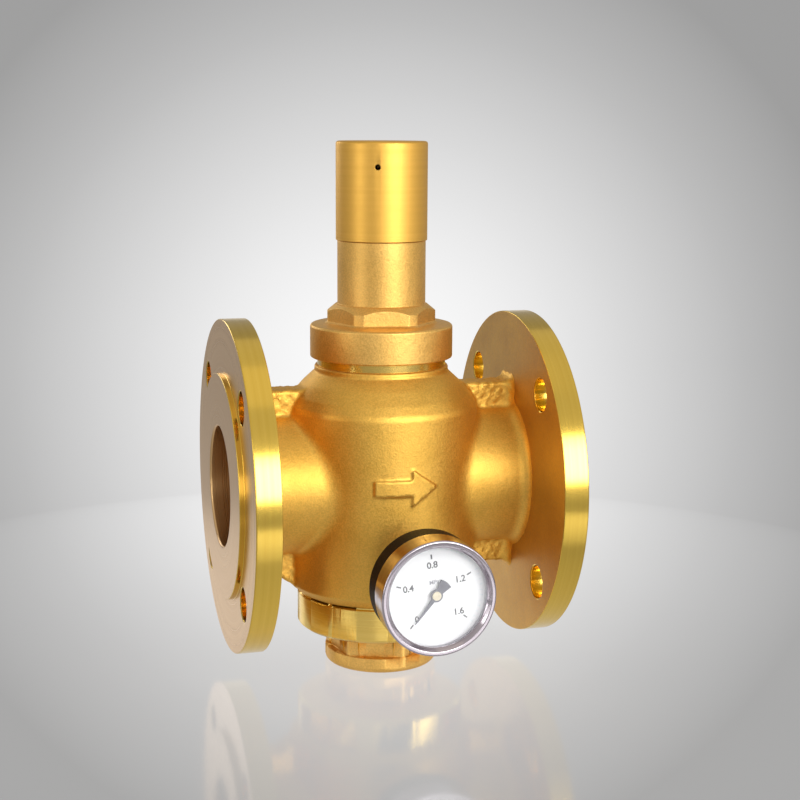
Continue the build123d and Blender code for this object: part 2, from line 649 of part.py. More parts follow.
for name, rear in (("movement_rear_plate", PLATE_REAR_Y), ("movement_front_plate", PLATE_FRONT_Y)):
    with BuildPart() as plate:
        with BuildSketch(facing_dial(rear)):
            with Locations((0, -4.5)):
                RectangleRounded(20.0, 21.0, 1.5)
            Circle(0.8, mode=Mode.SUBTRACT)
            with Locations((0, SECTOR_PIVOT)):
                Circle(0.7, mode=Mode.SUBTRACT)
        extrude(amount=PLATE_THICK)
    save(plate, name)

with BuildPart() as movement_posts:
    with BuildSketch(facing_dial(PLATE_REAR_Y - PLATE_THICK)):
        with Locations(*POSTS):
            Circle(1.4)
    extrude(amount=PLATE_REAR_Y - PLATE_THICK - PLATE_FRONT_Y)
save(movement_posts, "movement_posts")

with BuildPart() as pinion_arbor:
    turned_on_gauge([(0, -94.1), (0.75, -94.1), (0.75, -107.0), (0, -107.0)])
    with BuildSketch(facing_dial(-97.0)):
        Circle(0.85)
        with PolarLocations(PINION_R - 0.1, PINION_TEETH, start_angle=-90 + 180 / PINION_TEETH):
            Rectangle(0.6, 0.26)
    extrude(amount=3.0)
save(pinion_arbor, "pinion_arbor")

SECTOR_FIRST = 55.0
SECTOR_COUNT = 9

with BuildPart() as sector_gear:
    with BuildSketch(facing_dial(-98.0, SECTOR_PIVOT)):
        with BuildLine():
            rim = CenterArc((0, 0), SECTOR_R - 0.3, SECTOR_FIRST - 2.5, SECTOR_COUNT * TOOTH_STEP)
            Line((0, 0), rim @ 0)
            Line((0, 0), rim @ 1)
        make_face()
        Circle(1.8)
        for tooth in range(SECTOR_COUNT):
            turn = SECTOR_FIRST + tooth * TOOTH_STEP
            middle = (SECTOR_R - 0.15) * Vector(cos(radians(turn)), sin(radians(turn)))
            with Locations(Location(middle, (0, 0, turn))):
                Rectangle(0.7, 0.26)
        with Locations((LINK_PIN[0] / 2, (LINK_PIN[1] - SECTOR_PIVOT) / 2)):
            SlotCenterToCenter(5.1, 2.2, rotation=-11.3)
    extrude(amount=1.0)
    # Arbor, and the pin that the link turns on.
    with BuildSketch(facing_dial(-94.1)):
        with Locations((0, SECTOR_PIVOT)):
            Circle(0.65)
    extrude(amount=7.6)
    with BuildSketch(facing_dial(-98.5)):
        with Locations(LINK_PIN):
            Circle(0.5)
    extrude(amount=2.2)
save(sector_gear, "sector_gear")

LINK_LENGTH = 13.5
LINK_ANGLE = 24.9

with BuildPart() as link:
    reach = (LINK_LENGTH * cos(radians(LINK_ANGLE)), LINK_LENGTH * sin(radians(LINK_ANGLE)))
    with BuildSketch(facing_dial(-99.4)):
        with Locations((LINK_PIN[0] + reach[0] / 2, LINK_PIN[1] + reach[1] / 2)):
            SlotCenterToCenter(LINK_LENGTH, 2.2, rotation=LINK_ANGLE)
        with Locations(LINK_PIN, (LINK_PIN[0] + reach[0], LINK_PIN[1] + reach[1])):
            Circle(0.55, mode=Mode.SUBTRACT)
    extrude(amount=0.8)
save(link, "link")

with BuildPart() as pointer:
    zero_mark = (cos(radians(ZERO_ANGLE)), 0, sin(radians(ZERO_ANGLE)))
    with BuildSketch(Plane(origin=(0, -106.0, GAUGE_Z), x_dir=zero_mark, z_dir=(0, -1, 0))):
        # Needle along the zero mark, hub, and a fan-shaped tail that balances it.
        with BuildLine():
            Polyline((0, -1.5), (17.6, -0.25), (18.0, 0), (17.6, 0.25), (0, 1.5), close=True)
        make_face()
        Circle(3.0)
        with BuildLine():
            Line((-1.5, -1.4), (-8.6, -3.6))
            RadiusArc((-8.6, -3.6), (-8.6, 3.6), 9.3)
            Line((-8.6, 3.6), (-1.5, 1.4))
            Line((-1.5, 1.4), (-1.5, -1.4))
        make_face()
        Circle(0.75, mode=Mode.SUBTRACT)
    extrude(amount=0.5)
save(pointer, "pointer")

with BuildPart() as pointer_hub:
    turned_on_gauge([
        (0.75, -106.5), (2.0, -106.5), (2.0, -106.9), (1.6, -107.3), (0, -107.3), (0, -107.0),
        (0.75, -107.0),
    ])
save(pointer_hub, "pointer_hub")
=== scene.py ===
import json
from math import atan2, cos, pi, radians, sin, tan

import bmesh
import bpy
import numpy as np
import openvdb
from mathutils import Euler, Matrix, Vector


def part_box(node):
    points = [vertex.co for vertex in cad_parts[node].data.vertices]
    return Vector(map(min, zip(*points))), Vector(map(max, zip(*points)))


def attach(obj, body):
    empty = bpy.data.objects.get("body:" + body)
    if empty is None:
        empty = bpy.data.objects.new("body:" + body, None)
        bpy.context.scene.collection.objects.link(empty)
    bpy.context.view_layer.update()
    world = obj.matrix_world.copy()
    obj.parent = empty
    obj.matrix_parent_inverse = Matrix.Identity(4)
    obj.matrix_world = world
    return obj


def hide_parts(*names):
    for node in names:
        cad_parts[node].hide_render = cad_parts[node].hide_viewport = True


# A brass flanged pressure reducing valve with a 60 mm pressure gauge.
#
# Blender works in metres.  Outlines and sizes below are in millimetres and
# become metres as each mesh is made.  +Z is up the bonnet, +X runs along the
# pipe to the outlet, and -Y points out of the dial.

MM = 0.001
CREASE = 38.0             # degrees between two faces, above which an edge is sharp

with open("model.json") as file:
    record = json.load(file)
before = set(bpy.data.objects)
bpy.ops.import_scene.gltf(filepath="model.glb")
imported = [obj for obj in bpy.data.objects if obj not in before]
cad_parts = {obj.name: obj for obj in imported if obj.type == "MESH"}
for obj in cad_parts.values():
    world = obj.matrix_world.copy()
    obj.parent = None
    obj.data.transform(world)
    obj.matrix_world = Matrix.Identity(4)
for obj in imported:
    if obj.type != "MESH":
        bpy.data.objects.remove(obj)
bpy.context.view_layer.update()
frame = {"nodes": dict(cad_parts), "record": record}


# ------------------------------------------------------- sizes from the frame

def low(node, axis):
    """Lowest X, Y or Z of a CAD node, in millimetres."""
    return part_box(node)[0]["XYZ".index(axis)] / MM


def high(node, axis):
    """Highest X, Y or Z of a CAD node, in millimetres."""
    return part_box(node)[1]["XYZ".index(axis)] / MM


MOUNTS = {mount["name"]: mount for mount in frame["record"]["mounts"]}
PIPE_Z = MOUNTS["outlet_bolts"]["pos_m"][2] / MM
FLANGE_FACE = MOUNTS["outlet_bolts"]["pos_m"][0] / MM
BOLT_CIRCLE_R = MOUNTS["outlet_bolts"]["dims"]["pcd_mm"] / 2
BOLT_HOLE_R = MOUNTS["outlet_bolts"]["dims"]["hole_r_mm"]
RAISED_FACE = MOUNTS["outlet_face"]["pos_m"][0] / MM
BORE_R = MOUNTS["outlet_bore"]["dims"]["r_mm"]
FLANGE_R = high("valve_body", "Z") - PIPE_Z
BODY_TOP_Z = low("bonnet", "Z") + 25.8
BODY_FOOT_Z = high("bottom_cap", "Z") - 34.0
GAUGE_Z = (low("bezel", "Z") + high("bezel", "Z")) / 2

# Body casting.  The barrel draws in slightly from the pipe axis down to its foot.
BODY_R = 52.3
RIDGE_Z = PIPE_Z + 40.6
FOOT_FACE_R = 45.6
FOOT_EDGE_R = 50.9
FOOT_EDGE_Z = BODY_FOOT_Z + 5.4
NECK_R = 38.5
FLANGE_BACK = 73.5
RAISED_FACE_R = 61.0
NECK_RING_R = 35.0
NECK_RING_Z = 167.5
RIB_HALF = 8.0
RIB_EDGE_R = 1.6
RIB_TOP_Z = PIPE_Z + 52.0
RIB_FOOT_Z = PIPE_Z - 50.5
RIB_SLOPE_X = 60.0        # the rib's lower edge slopes from here in to its toe
RIB_TOE_Z = FOOT_EDGE_Z - 3.5
BOSS_R = 12.5
BOSS_Y = -64.0
CHAMBER_R = 45.0
CHAMBER_FLOOR_Z = 70.0
FOOT_SOCKET_R = 40.0
FOOT_SOCKET_TOP_Z = 76.0
THROAT_R = 36.0
THROAT_TOP_Z = 157.0
NECK_BORE_R = 30.0
SEAT_R = 25.0
WEB_LOW_Z = PIPE_Z - 4.0
WEB_HIGH_Z = PIPE_Z + 4.0
WALL_X = 36.0
WALL_FAR_X = 42.0
BORE_END_X = 48.0
PORT_R = 34.0
PORT_INNER_X = 30.0


# -------------------------------------------------------------- mesh helpers

def finish_mesh(name, vertices, faces, body, sharp=CREASE):
    """Make an object from millimetre vertices, shade it and let it ride on a body."""
    mesh = bpy.data.meshes.new(name)
    mesh.from_pydata([Vector(v) * MM for v in vertices], [], faces)
    mesh.validate()
    piece = bpy.data.objects.new(name, mesh)
    bpy.context.scene.collection.objects.link(piece)
    shade(piece, sharp)
    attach(piece, body)
    return piece


def shade(piece, sharp):
    """Smooth shading with crisp creases, weighted so that flats stay flat."""
    mesh = piece.data
    mesh.polygons.foreach_set("use_smooth", [True] * len(mesh.polygons))
    mesh.set_sharp_from_angle(angle=radians(sharp))
    weigh = piece.modifiers.new("weigh", "WEIGHTED_NORMAL")
    weigh.keep_sharp = True


def rounded(points, radius=0.0, steps=4, closed=True):
    """Round the corners of an outline.  A point may carry its own radius as a third value."""
    count = len(points)
    result = []
    for i, point in enumerate(points):
        here = np.array(point[:2], float)
        r = point[2] if len(point) > 2 else radius
        at_end = not closed and i in (0, count - 1)
        before = np.array(points[i - 1][:2], float) - here
        after = np.array(points[(i + 1) % count][:2], float) - here
        a, b = np.linalg.norm(before), np.linalg.norm(after)
        if at_end or r <= 0 or min(a, b) < 1e-6:
            result.append(tuple(here))
            continue
        before, after = before / a, after / b
        half = np.arccos(np.clip(before @ after, -1, 1)) / 2
        if half > pi / 2 - 0.02:
            result.append(tuple(here))
            continue
        cut = min(r / tan(half), 0.45 * a, 0.45 * b)
        r = cut * tan(half)
        middle = here + (before + after) / np.linalg.norm(before + after) * r / sin(half)
        start, end = here + before * cut - middle, here + after * cut - middle
        turn = atan2(start[0] * end[1] - start[1] * end[0], start @ end)
        for step in range(steps + 1):
            angle = turn * step / steps
            spun = (start[0] * cos(angle) - start[1] * sin(angle),
                    start[0] * sin(angle) + start[1] * cos(angle))
            result.append((middle[0] + spun[0], middle[1] + spun[1]))
    return result


def upright(r, along, turn):
    """Place an outline point that is turned about the bonnet axis."""
    return r * cos(turn), r * sin(turn), along


def on_pipe(r, along, turn):
    """Place an outline point that is turned about the pipe axis."""
    return along, r * cos(turn), PIPE_Z + r * sin(turn)


def on_gauge(r, along, turn):
    """Place an outline point that is turned about the gauge axis."""
    return r * cos(turn), along, GAUGE_Z + r * sin(turn)


def lathe(name, outline, body, place=upright, segments=192, start=0.0, closed=True):
    """Turn an outline of (radius, along) points, or a function of the angle that gives one."""
    shape = outline if callable(outline) else lambda turn: outline
    vertices, rows = [], []
    count = len(shape(start))
    for step in range(segments):
        turn = start + 2 * pi * step / segments
        for r, along in shape(turn):
            vertices.append(place(r, along, turn))
    faces = []
    span = count if closed else count - 1
    for step in range(segments):
        a, b = step * count, (step + 1) % segments * count
        for i in range(span):
            j = (i + 1) % count
            faces.append((a + i, b + i, b + j, a + j))
    first, last = shape(start)[0], shape(start)[-1]
    if not closed:
        if first[0] > 1e-6:
            faces.append([step * count for step in range(segments)])
        if last[0] > 1e-6:
            faces.append([step * count + count - 1 for step in reversed(range(segments))])
    piece = finish_mesh(name, vertices, faces, body)
    tidy(piece)
    return piece


def tidy(piece):
    """Weld doubled points and turn all faces outwards."""
    work = bmesh.new()
    work.from_mesh(piece.data)
    bmesh.ops.remove_doubles(work, verts=work.verts, dist=1e-7)
    bmesh.ops.dissolve_degenerate(work, edges=work.edges, dist=1e-8)
    bmesh.ops.recalc_face_normals(work, faces=work.faces)
    work.to_mesh(piece.data)
    work.free()


def cut_away(piece, cutter):
    """Subtract one mesh from another and drop the cutter."""
    change = piece.modifiers.new("boolean", "BOOLEAN")
    change.object, change.operation, change.solver = cutter, "DIFFERENCE", "EXACT"
    while piece.modifiers[0] != change:
        bpy.context.view_layer.objects.active = piece
        with bpy.context.temp_override(object=piece):
            bpy.ops.object.modifier_move_to_index(modifier=change.name, index=0)
    with bpy.context.temp_override(object=piece):
        bpy.ops.object.modifier_apply(modifier=change.name)
    bpy.data.objects.remove(cutter)


# ------------------------------------------------------------- the casting

def polygon_distance(x, y, points):
    """Signed distance from (x, y) to a closed polygon, negative inside."""
    nearest = np.full(x.shape, 1e9)
    inside = np.zeros(x.shape, bool)
    for (ax, ay), (bx, by) in zip(points, points[1:] + points[:1]):
        ex, ey = bx - ax, by - ay
        along = np.clip(((x - ax) * ex + (y - ay) * ey) / (ex * ex + ey * ey), 0, 1)
        nearest = np.minimum(nearest, np.hypot(x - ax - along * ex, y - ay - along * ey))
        crosses = (ay > y) != (by > y)
        with np.errstate(divide="ignore", invalid="ignore"):
            left = x < ax + (y - ay) * ex / (ey if ey else 1e-12)
        inside ^= crosses & left
    return np.where(inside, -nearest, nearest)


def blend(a, b, size):
    """Union of two distances with a fillet of about the given size."""
    h = np.maximum(size - np.abs(a - b), 0) / size
    return np.minimum(a, b) - h * h * size / 4


def carve(a, b, size):
    """Cut distance b out of distance a, with the edge eased by size."""
    return -blend(-a, b, size)


def upright_cylinder(p, radius, bottom, top):
    """Distance to a cylinder about the bonnet axis."""
    across = np.hypot(p[0], p[1]) - radius
    along = np.maximum(bottom - p[2], p[2] - top)
    outside = np.hypot(np.maximum(across, 0), np.maximum(along, 0))
    return np.minimum(np.maximum(across, along), 0) + outside


BARREL = [
    (0, BODY_FOOT_Z), (FOOT_FACE_R, BODY_FOOT_Z), (FOOT_EDGE_R, FOOT_EDGE_Z), (BODY_R, PIPE_Z),
    (BODY_R, RIDGE_Z), (51.7, 147.0), (48.7, 151.9), (43.2, 158.2), (37.6, 163.4),
    (36.5, 164.5), (36.5, 166.6), (36.0, NECK_RING_Z), (0, NECK_RING_Z),
]
RIB = [
    (-FLANGE_BACK - 2, RIB_FOOT_Z), (-RIB_SLOPE_X, RIB_FOOT_Z), (-FOOT_FACE_R, RIB_TOE_Z),
    (FOOT_FACE_R, RIB_TOE_Z), (RIB_SLOPE_X, RIB_FOOT_Z), (FLANGE_BACK + 2, RIB_FOOT_Z),
    (FLANGE_BACK + 2, RIB_TOP_Z), (-FLANGE_BACK - 2, RIB_TOP_Z),
]
EDGE_R = 0.8              # ease of the small edges of the casting
TUCK = 0.4                # how far the casting reaches into each flange
ROOT_R = 60.0             # the fillets at each flange stay inside this, clear of its bolt holes

# Generic flow arrow, raised on the front of the barrel.
ARROW_RISE = 5.0
ARROW_LENGTH = 34.0
ARROW_HEAD = 14.0
ARROW_HALF = 10.0
ARROW_SHAFT = 4.2
ARROW_PROUD = 1.2
ARROW = [
    (-ARROW_LENGTH / 2, -ARROW_SHAFT), (ARROW_LENGTH / 2 - ARROW_HEAD, -ARROW_SHAFT),
    (ARROW_LENGTH / 2 - ARROW_HEAD, -ARROW_HALF), (ARROW_LENGTH / 2, 0),
    (ARROW_LENGTH / 2 - ARROW_HEAD, ARROW_HALF), (ARROW_LENGTH / 2 - ARROW_HEAD, ARROW_SHAFT),
    (-ARROW_LENGTH / 2, ARROW_SHAFT),
]


def lumps(p, size, depth):
    """Gentle unevenness of a rough casting, from a few crossed waves."""
    directions = ((1.0, 0.3, 0.5), (-0.4, 1.0, 0.7), (0.6, -0.8, 1.0), (1.3, 0.9, -0.6))
    total = 0
    for k, (a, b, c) in enumerate(directions):
        total = total + np.sin((a * p[0] + b * p[1] + c * p[2]) * 2 * pi / size + 1.7 * k)
    return total * depth / len(directions)


def rib_distance(p):
    """Distance to the rough rib that runs from flange to flange through the body."""
    flat = polygon_distance(p[0], p[2], RIB) + RIB_EDGE_R
    side = np.abs(p[1]) - RIB_HALF + RIB_EDGE_R
    outside = np.hypot(np.maximum(flat, 0), np.maximum(side, 0))
    rib = outside + np.minimum(np.maximum(flat, side), 0) - RIB_EDGE_R
    return rib + lumps(p, 2.6, 0.25) + lumps(p, 6.1, 0.3)


def casting_distance(p):
    """Signed distance to the whole body casting without its flanges."""
    across = np.hypot(p[1], p[2] - PIPE_Z)
    behind = FLANGE_BACK + TUCK - np.abs(p[0])
    barrel = polygon_distance(np.hypot(p[0], p[1]), p[2], BARREL)
    solid = blend(barrel, across - NECK_R, 4.0)
    solid = blend(solid, rib_distance(p), 2.2)
    solid = blend(solid, np.maximum(behind, across - ROOT_R), 7.0)
    boss = np.hypot(p[0], p[2] - GAUGE_Z) - BOSS_R
    boss = np.maximum(boss, np.maximum(p[1], BOSS_Y - p[1]))
    solid = blend(solid, boss, 4.0)
    arrow = polygon_distance(p[0], p[2] - PIPE_Z - ARROW_RISE, ARROW)
    shell = np.hypot(p[0], p[1]) - BODY_R - ARROW_PROUD
    arrow = np.maximum(np.maximum(arrow, shell), p[1])
    solid = blend(solid, arrow, EDGE_R)
    return np.maximum(solid, np.abs(p[0]) - FLANGE_BACK - 2 * TUCK)


def hollow_distance(p):
    """Signed distance to the water space inside the body."""
    above = NECK_RING_Z + 7.5
    lower = upright_cylinder(p, CHAMBER_R, CHAMBER_FLOOR_Z, WEB_LOW_Z)
    lower = np.maximum(lower, p[0] - WALL_X)
    upper = upright_cylinder(p, CHAMBER_R, WEB_HIGH_Z, RIDGE_Z)
    upper = np.maximum(upper, -p[0] - WALL_X)
    throat = polygon_distance(np.hypot(p[0], p[1]), p[2], [
        (0, RIDGE_Z - 1), (THROAT_R, RIDGE_Z - 1), (THROAT_R, RIDGE_Z + 4),
        (NECK_BORE_R, THROAT_TOP_Z), (NECK_BORE_R, above), (0, above)])
    seat = upright_cylinder(p, SEAT_R, WEB_LOW_Z - 2, WEB_HIGH_Z + 2)
    foot = upright_cylinder(p, FOOT_SOCKET_R, BODY_FOOT_Z - 2, FOOT_SOCKET_TOP_Z)
    across = np.hypot(p[1], p[2] - PIPE_Z)
    out = np.abs(p[0])
    passage = np.maximum(across - PORT_R, np.maximum(WALL_FAR_X - out, out - BORE_END_X))
    bore = np.maximum(across - BORE_R, BORE_END_X - 1 - out)
    port = across - PORT_R
    length = np.maximum(PORT_INNER_X + p[0], -p[0] - WALL_FAR_X - 1)
    inlet = np.maximum(np.maximum(port, p[2] - WEB_LOW_Z), length)
    length = np.maximum(PORT_INNER_X - p[0], p[0] - WALL_FAR_X - 1)
    outlet = np.maximum(np.maximum(port, WEB_HIGH_Z - p[2]), length)
    space = blend(lower, inlet, 2.0)
    space = np.minimum(space, blend(upper, outlet, 2.0))
    space = np.minimum(np.minimum(space, throat), np.minimum(seat, foot))
    return np.minimum(space, np.minimum(passage, bore))


def body_distance(p):
    """Signed distance to the hollow body."""
    return carve(casting_distance(p), hollow_distance(p), EDGE_R)


def surface_mesh(name, distance, corner, far, step, body):
    """Mesh the zero surface of a distance function and pull each point onto it."""
    rounds, reach = 4, 0.05
    axes = [np.arange(a - 2 * step, b + 2 * step, step) for a, b in zip(corner, far)]
    grid = np.meshgrid(*axes, indexing="ij")
    field = openvdb.FloatGrid(background=3 * step)
    values = np.clip(distance(grid), -3 * step, 3 * step).astype(np.float32)
    field.copyFromArray(values)
    points, quads = field.convertToQuads(isovalue=0)
    points = points.astype(float) * step + [axis[0] for axis in axes]
    for _ in range(rounds):
        p = points.T
        here = distance(p)
        slope = np.stack([
            (distance(p + nudge) - distance(p - nudge)) / (2 * reach)
            for nudge in np.eye(3)[:, :, None] * reach
        ])
        size = np.maximum((slope ** 2).sum(0), 0.2)
        points = points - (np.clip(here, -step, step) * slope / size).T
    faces = [tuple(reversed(quad)) for quad in quads.tolist()]
    return finish_mesh(name, points, faces, body, sharp=180)


# ------------------------------------------------------------------ materials

class Nodes:
    """A small builder of shader nodes for one material."""

    def __init__(self, name):
        self.material = bpy.data.materials.new(name)
        self.material.use_nodes = True
        self.tree = self.material.node_tree
        self.tree.nodes.clear()
        self.shader = self.add("ShaderNodeBsdfPrincipled")
        self.link(self.shader, "BSDF", self.add("ShaderNodeOutputMaterial"), "Surface")
        self.place = self.add("ShaderNodeTexCoord")

    def add(self, kind, **values):
        node = self.tree.nodes.new(kind)
        for key, value in values.items():
            if key in node.inputs:
                node.inputs[key].default_value = value
            else:
                setattr(node, key, value)
        return node

    def link(self, a, out, b, into):
        self.tree.links.new(a.outputs[out], b.inputs[into])

    def noise(self, size, detail=2.0, roughness=0.5):
        """Noise whose features are about size millimetres across."""
        noise = self.add(
            "ShaderNodeTexNoise", Scale=1 / (size * MM), Detail=detail, Roughness=roughness)
        self.link(self.place, "Object", noise, "Vector")
        return noise

    def ramp(self, source, out, stops):
        """Colours along a value."""
        ramp = self.add("ShaderNodeValToRGB")
        elements = ramp.color_ramp.elements
        while len(elements) < len(stops):
            elements.new(0.5)
        for element, (at, colour) in zip(elements, stops):
            element.position = at
            element.color = (*colour, 1)
        self.link(source, out, ramp, "Fac")
        return ramp

    def span(self, source, out, low_value, high_value, from_low=0.3, from_high=0.7):
        """Map a value onto a range."""
        change = self.add("ShaderNodeMapRange")
        for key, value in (("From Min", from_low), ("From Max", from_high),
                           ("To Min", low_value), ("To Max", high_value)):
            change.inputs[key].default_value = value
        self.link(source, out, change, "Value")
        return change

    def bump(self, source, out, depth, after=None):
        """A bump of depth millimetres, over the bump of an earlier node if there is one."""
        bump = self.add("ShaderNodeBump", Strength=1.0, Distance=depth * MM)
        self.link(source, out, bump, "Height")
        if after:
            self.link(after, "Normal", bump, "Normal")
        return bump

    def radius(self, axis, centre):
        """Distance from an axis in metres, for marks left by turning, and the separate X, Y, Z."""
        apart = self.add("ShaderNodeSeparateXYZ")
        self.link(self.place, "Object", apart, "Vector")
        squares = []
        for name, middle in zip("XYZ", centre):
            if name == axis:
                continue
            shift = self.add("ShaderNodeMath", operation="SUBTRACT")
            self.link(apart, name, shift, 0)
            shift.inputs[1].default_value = middle
            square = self.add("ShaderNodeMath", operation="POWER")
            self.link(shift, "Value", square, 0)
            square.inputs[1].default_value = 2.0
            squares.append(square)
        total = self.add("ShaderNodeMath", operation="ADD")
        self.link(squares[0], "Value", total, 0)
        self.link(squares[1], "Value", total, 1)
        root = self.add("ShaderNodeMath", operation="SQRT")
        self.link(total, "Value", root, 0)
        return root, apart


def cast_metal(name, dark, light, rough=0.5):
    """Sand-blasted brass: fine pitted grain with slow changes of tone."""
    n = Nodes(name)
    grain, depth = 0.9, 0.07
    tone = n.noise(26.0, 3.0)
    colour = n.ramp(tone, "Fac", [(0.3, dark), (0.7, light)])
    fine = n.noise(grain, 3.0, roughness=0.6)
    speckle = n.ramp(fine, "Fac", [(0.38, (0.84, 0.82, 0.78)), (0.62, (1.0, 1.0, 1.0))])
    product = n.add("ShaderNodeVectorMath", operation="MULTIPLY")
    n.link(colour, "Color", product, 0)
    n.link(speckle, "Color", product, 1)
    n.link(product, "Vector", n.shader, "Base Color")
    coarse = n.noise(grain * 4, 2.0)
    first = n.bump(coarse, "Fac", depth * 1.6)
    second = n.bump(fine, "Fac", depth, after=first)
    n.link(second, "Normal", n.shader, "Normal")
    spread = n.span(fine, "Fac", rough - 0.06, rough + 0.08)
    n.link(spread, "Result", n.shader, "Roughness")
    n.shader.inputs["Metallic"].default_value = 1.0
    return n.material


def turned_metal(name, dark, light, axis, centre, groove=0.25, depth=0.004, rough=0.2):
    """Turned brass: fine rings from the tool on faces and on round sides."""
    n = Nodes(name)
    root, apart = n.radius(axis, centre)
    both = n.add("ShaderNodeCombineXYZ")
    n.link(root, "Value", both, "X")
    n.link(apart, axis, both, "Y")
    rings = n.add("ShaderNodeTexNoise", Scale=1 / (groove * MM), Detail=2.0)
    n.link(both, "Vector", rings, "Vector")
    bands = n.add("ShaderNodeTexNoise", Scale=1 / (2.2 * MM), Detail=1.0)
    n.link(both, "Vector", bands, "Vector")
    bump = n.bump(rings, "Fac", depth)
    n.link(bump, "Normal", n.shader, "Normal")
    colour = n.ramp(bands, "Fac", [(0.25, dark), (0.75, light)])
    n.link(colour, "Color", n.shader, "Base Color")
    spread = n.span(rings, "Fac", rough - 0.05, rough + 0.06)
    n.link(spread, "Result", n.shader, "Roughness")
    n.shader.inputs["Metallic"].default_value = 1.0
    return n.material


def plain(name, colour, rough, metal=0.0, depth=0.01, change=0.12, shine=0.5):
    """A simple finish with a little grain and change of tone."""
    n = Nodes(name)
    tone = n.noise(6.0, 2.0)
    darker = tuple(c * (1 - change) for c in colour)
    mix = n.ramp(tone, "Fac", [(0.3, darker), (0.7, colour)])
    n.link(mix, "Color", n.shader, "Base Color")
    fine = n.noise(0.8, 2.0)
    bump = n.bump(fine, "Fac", depth)
    n.link(bump, "Normal", n.shader, "Normal")
    spread = n.span(fine, "Fac", rough * 0.85, rough * 1.15)
    n.link(spread, "Result", n.shader, "Roughness")
    n.shader.inputs["Metallic"].default_value = metal
    n.shader.inputs["Specular IOR Level"].default_value = shine
    return n.material


def clear_glass(name):
    """Thin clear window glass: mostly open, with the faint mirror of its two faces."""
    n = Nodes(name)
    n.shader.inputs["Base Color"].default_value = (0.98, 1.0, 1.0, 1)
    n.shader.inputs["Metallic"].default_value = 1.0
    n.shader.inputs["Roughness"].default_value = 0.03
    n.shader.inputs["Alpha"].default_value = 0.07
    return n.material


def dress(piece, material):
    """Give a piece one material."""
    piece.data.materials.clear()
    piece.data.materials.append(material)


# The axis and centre about which each turned look was turned.
ON_BONNET_AXIS = "Z", (0, 0, 0)
ON_PIPE_AXIS = "X", (0, 0, PIPE_Z * MM)
ON_GAUGE_AXIS = "Y", (0, 0, GAUGE_Z * MM)

CAST = cast_metal("cast_brass_look", (0.80, 0.47, 0.085), (0.93, 0.57, 0.12))
BONNET_CAST = cast_metal("bonnet_brass_look", (0.80, 0.48, 0.125), (0.92, 0.57, 0.165),
                         rough=0.47)
CAP_SATIN = turned_metal("satin_brass_look", (0.78, 0.445, 0.085), (0.83, 0.485, 0.10),
                         *ON_BONNET_AXIS, groove=0.35, depth=0.005, rough=0.47)
FLANGE_BRASS = turned_metal("flange_brass_look", (0.80, 0.53, 0.085), (0.88, 0.60, 0.115),
                            *ON_PIPE_AXIS, rough=0.17)
# Faced brass: real turning marks, and a pale pinkish tone that is a painted reflection of the pale
# surroundings.
FACED_BRASS_AND_REFLECTION = turned_metal("faced_brass_look", (0.66, 0.41, 0.18), (0.74, 0.48, 0.225),
                           *ON_PIPE_AXIS, groove=0.6, depth=0.012, rough=0.3)
# Flange back: as-cast grain, in a darker copy of the cast brass that is painted shade where the
# back faces the body.
FLANGE_REAR_SHADED = cast_metal("flange_back_look", (0.60, 0.34, 0.08), (0.70, 0.42, 0.10), rough=0.45)
RING_BRASS = turned_metal("ring_brass_look", (0.80, 0.55, 0.13), (0.88, 0.62, 0.17),
                          *ON_BONNET_AXIS, rough=0.22)
CHROME = turned_metal("chrome_look", (0.44, 0.39, 0.43), (0.52, 0.47, 0.51),
                      *ON_GAUGE_AXIS, groove=1.0, depth=0.002, rough=0.14)
BLACK = plain("black_enamel_look", (0.004, 0.0035, 0.0045), 0.5, shine=0.12)
RUBBER = plain("rubber_look", (0.02, 0.02, 0.02), 0.7)
STEEL = turned_metal("steel_look", (0.55, 0.54, 0.52), (0.62, 0.61, 0.59),
                     *ON_BONNET_AXIS, rough=0.3)
INNER_BRASS = turned_metal("inner_brass_look", (0.72, 0.50, 0.16), (0.80, 0.58, 0.2),
                           *ON_BONNET_AXIS, rough=0.3)
GAUGE_BRASS = plain("gauge_brass_look", (0.75, 0.54, 0.2), 0.3, metal=1.0)
SPRING_STEEL = plain("spring_steel_look", (0.22, 0.21, 0.21), 0.4, metal=1.0)
PTFE = plain("ptfe_look", (0.8, 0.8, 0.77), 0.5)
GREY_SEAL = plain("grey_seal_look", (0.42, 0.40, 0.45), 0.5)
DIAL_WHITE = plain("dial_white_look", (0.93, 0.935, 0.95), 0.45, change=0.02, depth=0.002)
SLATE = plain("pointer_look", (0.11, 0.105, 0.14), 0.4)
CREAM = plain("pointer_hub_look", (0.80, 0.71, 0.52), 0.35)
INK = plain("dial_ink_look", (0.05, 0.045, 0.06), 0.5)
CYAN_INK = plain("dial_cyan_look", (0.55, 0.74, 0.80), 0.5)
GREY_INK = plain("dial_grey_look", (0.45, 0.44, 0.50), 0.5)
GLASS = clear_glass("lens_look")

NODE_LOOKS = {
    STEEL: ["seat_ring", "silencer_cage", "stem", "piston_nut", "stem_nut", "piston_washer",
            "disc_clamp", "adjusting_screw", "lock_nut", "case_screws"],
    INNER_BRASS: ["piston", "disc_holder", "balance_piston", "spring_plate"],
    SPRING_STEEL: ["spring"],
    RUBBER: ["bonnet_o_ring", "bottom_o_ring", "gallery_o_ring", "balance_seal", "piston_seal",
             "valve_disc", "cap_o_ring"],
    PTFE: ["piston_guide_ring", "gauge_washer"],
    GAUGE_BRASS: ["gauge_socket", "bourdon_tube", "tube_tip", "movement_rear_plate",
                  "movement_front_plate", "movement_posts", "pinion_arbor", "sector_gear", "link"],
    GLASS: ["lens"],
    GREY_SEAL: ["lens_gasket"],
}
for look, names in NODE_LOOKS.items():
    for node_name in names:
        dress(frame["nodes"][node_name], look)


